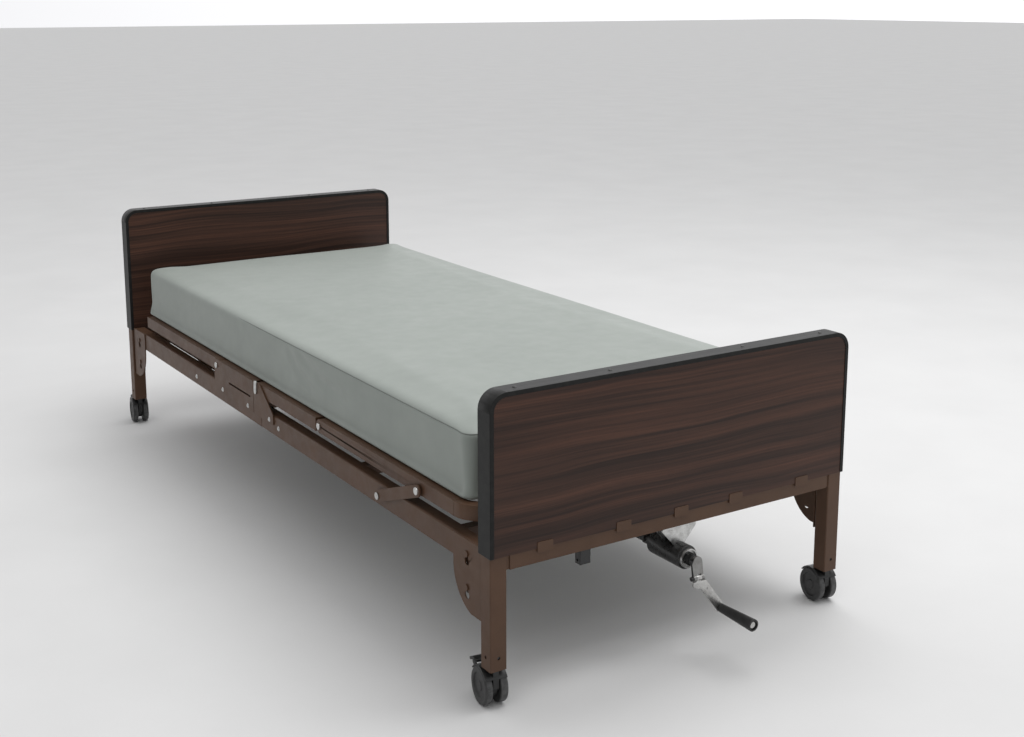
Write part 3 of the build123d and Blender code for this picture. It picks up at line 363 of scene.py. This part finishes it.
def bell(value):
    return smoothstep(1.0, 0.0, abs(value))


def fold_depth(y, z):
    """How far the folds draw the cover in at a place on its left side."""
    drawn = 0.0
    spot = Vector((y, z))
    for depth, width, places in SIDE_FOLDS:
        corners = [Vector(place) * MM for place in places]
        total = sum((b - a).length for a, b in zip(corners, corners[1:]))
        passed = 0.0
        nearest = (9.0, 0.0)
        for a, b in zip(corners, corners[1:]):
            run = b - a
            share = min(1.0, max(0.0, (spot - a).dot(run) / run.length_squared))
            gap = spot - (a + share * run)
            below = math.copysign(gap.length, run.x * gap.y - run.y * gap.x)
            if gap.length < abs(nearest[0]):
                nearest = (below, (passed + share * run.length) / total)
            passed += run.length
        below, along = nearest[0] / (width * MM), nearest[1]
        fade = smoothstep(0.0, 0.12, along) * smoothstep(1.0, 0.45, along)
        drawn += depth * MM * fade * (bell(below) - 0.35 * bell((below - 1.5) / 1.3))
    return drawn


class Mattress:
    """A foam block in a loose vinyl cover. It starts a little smaller than its CAD blocks."""

    CORNER = 30 * MM
    EDGE = 20 * MM
    START_GAP = 3 * MM
    CELL = 15 * MM
    ROW = 7.5 * MM
    CAP = 11 * MM

    def __init__(self):
        blocks = [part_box("mattress_" + part) for part in ("calf", "thigh", "seat", "back")]
        self.low = Vector([min(b[0][axis] for b in blocks) for axis in range(3)])
        self.high = Vector([max(b[1][axis] for b in blocks) for axis in range(3)])
        gap = Vector((self.START_GAP, self.START_GAP, 0))
        self.start_low = self.low + gap
        self.start_high = self.high - gap - Vector((0, 0, self.START_GAP))

    def steps(self, axis, size):
        length = self.start_high[axis] - self.start_low[axis]
        return max(2, round(length / size))

    def round_corner(self, point):
        """Squares off to a rounded rectangle in plan, with the grid squeezed into the corners."""
        centre = (self.start_low + self.start_high) / 2
        half = (self.start_high - self.start_low) / 2
        offset = point - centre
        out_x = max(0.0, abs(offset.x) - (half.x - self.CORNER)) / self.CORNER
        out_y = max(0.0, abs(offset.y) - (half.y - self.CORNER)) / self.CORNER
        if out_x > 0 and out_y > 0:
            new_x = half.x - self.CORNER + self.CORNER * out_x * math.sqrt(1 - out_y * out_y / 2)
            new_y = half.y - self.CORNER + self.CORNER * out_y * math.sqrt(1 - out_x * out_x / 2)
            offset.x = math.copysign(new_x, offset.x)
            offset.y = math.copysign(new_y, offset.y)
        return centre + offset

    def depth_and_direction(self, point):
        """Distance in from the rounded outline in plan, and the way out."""
        centre = (self.start_low + self.start_high) / 2
        half = (self.start_high - self.start_low) / 2
        offset = point - centre
        core = Vector((max(-half.x + self.CORNER, min(half.x - self.CORNER, offset.x)),
                       max(-half.y + self.CORNER, min(half.y - self.CORNER, offset.y)), 0))
        flat = Vector((offset.x, offset.y, 0)) - core
        if flat.length > 1e-6:
            return self.CORNER - flat.length, flat.normalized()
        if half.x - abs(offset.x) < half.y - abs(offset.y):
            return half.x - abs(offset.x), Vector((math.copysign(1, offset.x), 0, 0))
        return half.y - abs(offset.y), Vector((0, math.copysign(1, offset.y), 0))

    def round_edge(self, point):
        """Rounds the long top and bottom edges."""
        depth, outward = self.depth_and_direction(point)
        from_top = self.start_high.z - point.z
        from_bottom = point.z - self.start_low.z
        radius = self.EDGE if from_top < from_bottom else 0.6 * self.EDGE
        rise = min(from_top, from_bottom)
        if depth < radius and rise < radius:
            inward = Vector((depth - radius, rise - radius))
            if inward.length > 1e-9:
                inward = inward.normalized() * radius
                new_depth, new_rise = radius + inward.x, radius + inward.y
                point = point - outward * (new_depth - depth)
                point.z += (rise - new_rise) if from_top < from_bottom else (new_rise - rise)
        return point

    def block_mesh(self):
        """Six grids welded into one block, then rounded."""
        counts = (self.steps(0, self.CELL), self.steps(1, self.CELL), self.steps(2, self.ROW))
        size = self.start_high - self.start_low
        made = bmesh.new()
        spots = {}

        def vertex(i, j, k):
            if (i, j, k) not in spots:
                share = Vector((i / counts[0], j / counts[1], k / counts[2]))
                place = self.start_low + Vector([share[a] * size[a] for a in range(3)])
                spots[i, j, k] = made.verts.new(self.round_edge(self.round_corner(place)))
            return spots[i, j, k]

        for axis in range(3):
            u, v = (axis + 1) % 3, (axis + 2) % 3
            for end in (0, counts[axis]):
                for a in range(counts[u]):
                    for b in range(counts[v]):
                        corners = []
                        for da, db in ((0, 0), (1, 0), (1, 1), (0, 1)):
                            index = [0, 0, 0]
                            index[axis], index[u], index[v] = end, a + da, b + db
                            corners.append(vertex(*index))
                        made.faces.new(corners if end else corners[::-1])
        mesh = bpy.data.meshes.new("mattress")
        made.to_mesh(mesh)
        made.free()
        return mesh

    def inflate(self, obj):
        """Blows the cover up a little with cloth. Its loose sides wrinkle, its base is held."""
        held = obj.vertex_groups.new(name="held")
        loose = obj.vertex_groups.new(name="loose")
        height = self.start_high.z - self.start_low.z
        for v in obj.data.vertices:
            share = (v.co.z - self.start_low.z) / height
            if share < 0.04:
                held.add([v.index], 1.0, "REPLACE")
            loose.add([v.index], 1 - smoothstep(0.0, 0.10, abs(share - 0.45) - 0.35), "REPLACE")
        cloth = obj.modifiers.new("cloth", "CLOTH")
        settings = cloth.settings
        settings.quality = 5
        settings.mass = 0.35
        settings.tension_stiffness = 18
        settings.compression_stiffness = 12
        settings.shear_stiffness = 6
        settings.bending_stiffness = 0.6
        settings.use_pressure = True
        settings.uniform_pressure_force = 4
        settings.vertex_group_mass = "held"
        settings.vertex_group_shrink = "loose"
        settings.shrink_min = 0.0
        settings.shrink_max = -0.05
        settings.effector_weights.gravity = 0
        for step in range(1, 21):
            SCENE.frame_set(step)
        swollen = obj.evaluated_get(bpy.context.evaluated_depsgraph_get())
        places = [v.co.copy() for v in swollen.data.vertices]
        obj.modifiers.clear()
        SCENE.frame_set(1)
        for v, place in zip(obj.data.vertices, places):
            move = place - v.co
            if move.length > self.CAP:
                move *= self.CAP / move.length
            v.co += move

    def settle(self, obj):
        """Lays the cover's folds, lets the foot end sag, and keeps the block inside its space."""
        height = self.high.z - self.low.z
        for v in obj.data.vertices:
            depth, outward = self.depth_and_direction(v.co)
            share = (v.co.z - self.low.z) / height
            on_side = smoothstep(14 * MM, 0.0, depth) if depth > 0 else 1.0
            band = on_side * smoothstep(0.04, 0.25, share) * smoothstep(1.0, 0.72, share)
            along = v.co.y if abs(outward.x) > 0.5 else v.co.x * 1.3 + 3.1
            slant = along - 0.9 * (self.high.z - v.co.z)
            fold = noise.noise(Vector((slant * 11.0, share * 0.7, outward.x * 3)))
            crease = noise.noise(Vector((slant * 27.0 + 5, share * 1.4, outward.x * 3 + 9)))
            v.co += outward * band * (3.2 * MM * fold + 1.3 * MM * crease)
            if outward.x < -0.5:
                v.co -= outward * on_side * fold_depth(v.co.y, v.co.z)
            dip = noise.noise(Vector((v.co.x * 3.0, v.co.y * 2.2, 4.0)))
            sag = smoothstep(0.16, 0.0, v.co.y - self.low.y)
            v.co.z += smoothstep(0.8, 1.0, share) * (2.2 * dip - 7.0 * sag) * MM
            v.co.z = max(self.low.z, min(self.high.z + 3 * MM, v.co.z))

    def build(self):
        obj = bpy.data.objects.new("mattress", self.block_mesh())
        SCENE.collection.objects.link(obj)
        self.inflate(obj)
        self.settle(obj)
        smooth = obj.modifiers.new("smooth", "SUBSURF")
        smooth.levels = smooth.render_levels = 1
        final = bpy.data.meshes.new_from_object(obj.evaluated_get(bpy.context.evaluated_depsgraph_get()))
        obj.modifiers.clear()
        obj.data = final
        return obj


HINGE_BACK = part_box("backrest_wire_deck")[0].y - 2 * MM
HINGE_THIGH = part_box("thigh_wire_deck")[1].y + 2 * MM
HINGE_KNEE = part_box("thigh_wire_deck")[0].y - 28 * MM
MID_SEAT = (HINGE_BACK + HINGE_THIGH) / 2
MID_THIGH = (HINGE_THIGH + HINGE_KNEE) / 2
# Part of the mattress: lowest and highest y, its two bodies, where the bend starts and ends,
# and the CAD blocks that it stands for.
MATTRESS_PARTS = {
    "head": (MID_SEAT, 9.0, "bed_frame", "backrest", HINGE_BACK - 0.12, HINGE_BACK + 0.17,
             ("mattress_seat", "mattress_back")),
    "middle": (MID_THIGH, MID_SEAT, "bed_frame", "thigh_section", HINGE_THIGH + 0.11, HINGE_THIGH - 0.11,
               ("mattress_thigh",)),
    "foot": (-9.0, MID_THIGH, "thigh_section", "calf_section", HINGE_KNEE + 0.13, HINGE_KNEE - 0.13,
             ("mattress_calf",)),
}


def slice_of(whole, name, low_y, high_y):
    """The stretch of a closed mesh between two upright planes, closed at its cuts."""
    cut = bmesh.new()
    cut.from_mesh(whole.data)
    cut.normal_update()
    normals = cut.verts.layers.float_vector.new("whole_normal")
    for v in cut.verts:
        v[normals] = v.normal
    for y, way in ((low_y, -1), (high_y, 1)):
        geometry = cut.verts[:] + cut.edges[:] + cut.faces[:]
        made = bmesh.ops.bisect_plane(cut, geom=geometry, plane_co=(0, y, 0), plane_no=(0, way, 0),
                                      clear_outer=True)
        rim = [e for e in made["geom_cut"] if isinstance(e, bmesh.types.BMEdge)]
        bmesh.ops.holes_fill(cut, edges=rim, sides=0)
    mesh = bpy.data.meshes.new(name)
    corner_normals = []
    for face in cut.faces:
        face.smooth = True
        face.normal_update()
        closes_cut = any(all(abs(v.co.y - y) < 1e-5 for v in face.verts) for y in (low_y, high_y))
        for v in face.verts:
            corner_normals.append(face.normal.copy() if closes_cut else Vector(v[normals]).normalized())
    cut.to_mesh(mesh)
    cut.free()
    mesh.attributes.remove(mesh.attributes["whole_normal"])
    mesh.normals_split_custom_set(corner_normals)
    piece = bpy.data.objects.new(name, mesh)
    SCENE.collection.objects.link(piece)
    return piece


def lay_in_parts(whole, prefix, finish, parts):
    """Cuts a soft piece midway between the deck's hinges, so that each part spans one joint."""
    made = {}
    for part in parts:
        low_y, high_y, first, second, start, end, _ = MATTRESS_PARTS[part]
        piece = slice_of(whole, prefix + "_" + part, low_y, high_y)
        piece.data.materials.clear()
        piece.data.materials.append(finish)
        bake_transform(piece)
        made[part] = piece
    bpy.data.objects.remove(whole)
    return made


SEAM_DROP = 17 * MM
SEAM_CORNER = 60 * MM
SEAM_THICK = 1.5 * MM
# The welt is full from the foot to the first y, and thins out to nothing at the second.
SEAM_FULL_Y = 0.10
SEAM_END_Y = 0.34
SIDE_STEPS = 90
CORNER_STEPS = 12
FOOT_STEPS = 40


def seam_aims(shape):
    """Places outside the mattress and the way in from each, from one side round the foot to the other."""
    z = shape.high.z - SEAM_DROP
    middle_x = (shape.low.x + shape.high.x) / 2
    corner_x = shape.high.x - SEAM_CORNER
    corner_y = shape.low.y + SEAM_CORNER
    side = [SEAM_END_Y + (corner_y - SEAM_END_Y) * i / SIDE_STEPS for i in range(SIDE_STEPS + 1)]

    def round_corner(x, start_angle):
        for i in range(1, CORNER_STEPS):
            angle = math.radians(start_angle + 90 * i / CORNER_STEPS)
            out = Vector((math.cos(angle), math.sin(angle), 0))
            yield Vector((x, corner_y, z)) + out, -out

    for y in side:
        yield Vector((middle_x - 1, y, z)), Vector((1, 0, 0))
    yield from round_corner(-corner_x, 180)
    for i in range(FOOT_STEPS + 1):
        x = -corner_x + 2 * corner_x * i / FOOT_STEPS
        yield Vector((x, shape.low.y - 1, z)), Vector((0, 1, 0))
    yield from round_corner(corner_x, 270)
    for y in reversed(side):
        yield Vector((middle_x + 1, y, z)), Vector((-1, 0, 0))


def seam_line(body, shape):
    """Sewn edge of the cover: a thin welt just under the top edge, from mid-length round the foot."""
    tree = BVHTree.FromObject(body, bpy.context.evaluated_depsgraph_get())
    found = []
    for start, way in seam_aims(shape):
        hit = tree.ray_cast(start, way)[0]
        if hit is not None:
            found.append((hit + way * 0.4 * MM, smoothstep(SEAM_END_Y, SEAM_FULL_Y, start.y)))
    line = bpy.data.curves.new("seam", "CURVE")
    line.dimensions = "3D"
    line.bevel_depth = SEAM_THICK
    line.bevel_resolution = 3
    line.use_fill_caps = True
    run = line.splines.new("POLY")
    run.points.add(len(found) - 1)
    for point, (place, share) in zip(run.points, found):
        point.co = (*place, 1)
        point.radius = max(0.05, share)
    curve = bpy.data.objects.new("seam", line)
    SCENE.collection.objects.link(curve)
    tube = bpy.data.meshes.new_from_object(curve.evaluated_get(bpy.context.evaluated_depsgraph_get()))
    bpy.data.objects.remove(curve)
    solid = bpy.data.objects.new("seam", tube)
    SCENE.collection.objects.link(solid)
    return solid


def make_mattress(finishes):
    shape = Mattress()
    body = shape.build()
    seam = seam_line(body, shape)
    parts = lay_in_parts(body, "mattress", finishes["mattress_cover"], MATTRESS_PARTS)
    for part, piece in parts.items():
        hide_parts(*MATTRESS_PARTS[part][-1])
    # The welt is real, but its darker tone, the cover's vinyl at 0.45, is painted shade along the seam.
    welt = cover_vinyl("mattress_seam_shaded_finish", 0.45)
    lay_in_parts(seam, "mattress_seam", welt, MATTRESS_PARTS)


# ---- Floor and lights ---------------------------------------------------------------------
BRIGHT_SIDE = (0.862, 0.507, 0)
WALL_TONES = ((0.0, 0.10), (0.25, 0.22), (0.5, 0.40), (1.0, 1.0))
CEILING_TONE = 0.85


def make_floor():
    mesh = bpy.data.meshes.new("floor")
    reach = 60
    corners = [(-reach, -reach, 0), (reach, -reach, 0), (reach, reach, 0), (-reach, reach, 0)]
    mesh.from_pydata(corners, [], [(0, 1, 2, 3)])
    floor = bpy.data.objects.new("floor", mesh)
    SCENE.collection.objects.link(floor)
    paint = Surface("floor_finish", (0.68, 0.68, 0.68), 0.85, Specular_IOR_Level=0.2)
    paint.colour(paint.ramp(paint.noise(2.5, 6), (0.3, 0.66), (0.7, 0.69)))
    paint.bump(paint.noise(140, 3), 0.8 * MM, 0.2)
    mesh.materials.append(paint.material)


def area_light(name, place, aim, size, power, tint=(1, 1, 1)):
    lamp = bpy.data.lights.new(name, "AREA")
    lamp.shape = "RECTANGLE"
    lamp.size, lamp.size_y = size
    lamp.energy = power
    lamp.color = tint
    obj = bpy.data.objects.new(name, lamp)
    obj.location = place
    obj.rotation_euler = (Vector(aim) - Vector(place)).to_track_quat("-Z", "Y").to_euler()
    SCENE.collection.objects.link(obj)


def make_lights():
    """A soft dome, bright overhead and on one side, and one large lamp that aims the shadows."""
    world = bpy.data.worlds.new("studio")
    world.use_nodes = True
    tree = world.node_tree
    direction = tree.nodes.new("ShaderNodeTexCoord").outputs["Generated"]
    across = tree.nodes.new("ShaderNodeVectorMath")
    across.operation = "DOT_PRODUCT"
    tree.links.new(direction, across.inputs[0])
    across.inputs[1].default_value = BRIGHT_SIDE
    share = tree.nodes.new("ShaderNodeMapRange")
    share.inputs["From Min"].default_value = -1.0
    tree.links.new(across.outputs["Value"], share.inputs["Value"])
    walls = tree.nodes.new("ShaderNodeValToRGB")
    stops = walls.color_ramp.elements
    while len(stops) < len(WALL_TONES):
        stops.new(0.5)
    for stop, (place, tone) in zip(stops, WALL_TONES):
        stop.position = place
        stop.color = (tone, tone, 1.02 * tone, 1)
    tree.links.new(share.outputs["Result"], walls.inputs["Fac"])
    split = tree.nodes.new("ShaderNodeSeparateXYZ")
    tree.links.new(direction, split.inputs["Vector"])
    dome = tree.nodes.new("ShaderNodeMix")
    dome.data_type = "RGBA"
    tree.links.new(split.outputs["Z"], dome.inputs[0])
    tree.links.new(walls.outputs["Color"], dome.inputs[6])
    dome.inputs[7].default_value = (CEILING_TONE, CEILING_TONE, CEILING_TONE, 1)
    background = tree.nodes["Background"]
    tree.links.new(dome.outputs[2], background.inputs["Color"])
    background.inputs["Strength"].default_value = 1.15
    SCENE.world = world
    area_light("overhead", (1.6, -0.6, 4.6), (0.1, 0, 0.3), (3.6, 3.6), 125)


SCENE.view_settings.view_transform = "Standard"
make_camera()
make_floor()
make_lights()
FINISHES = make_finishes()
finish_cad_nodes(FINISHES)
finish_details(FINISHES)
make_mattress(FINISHES)
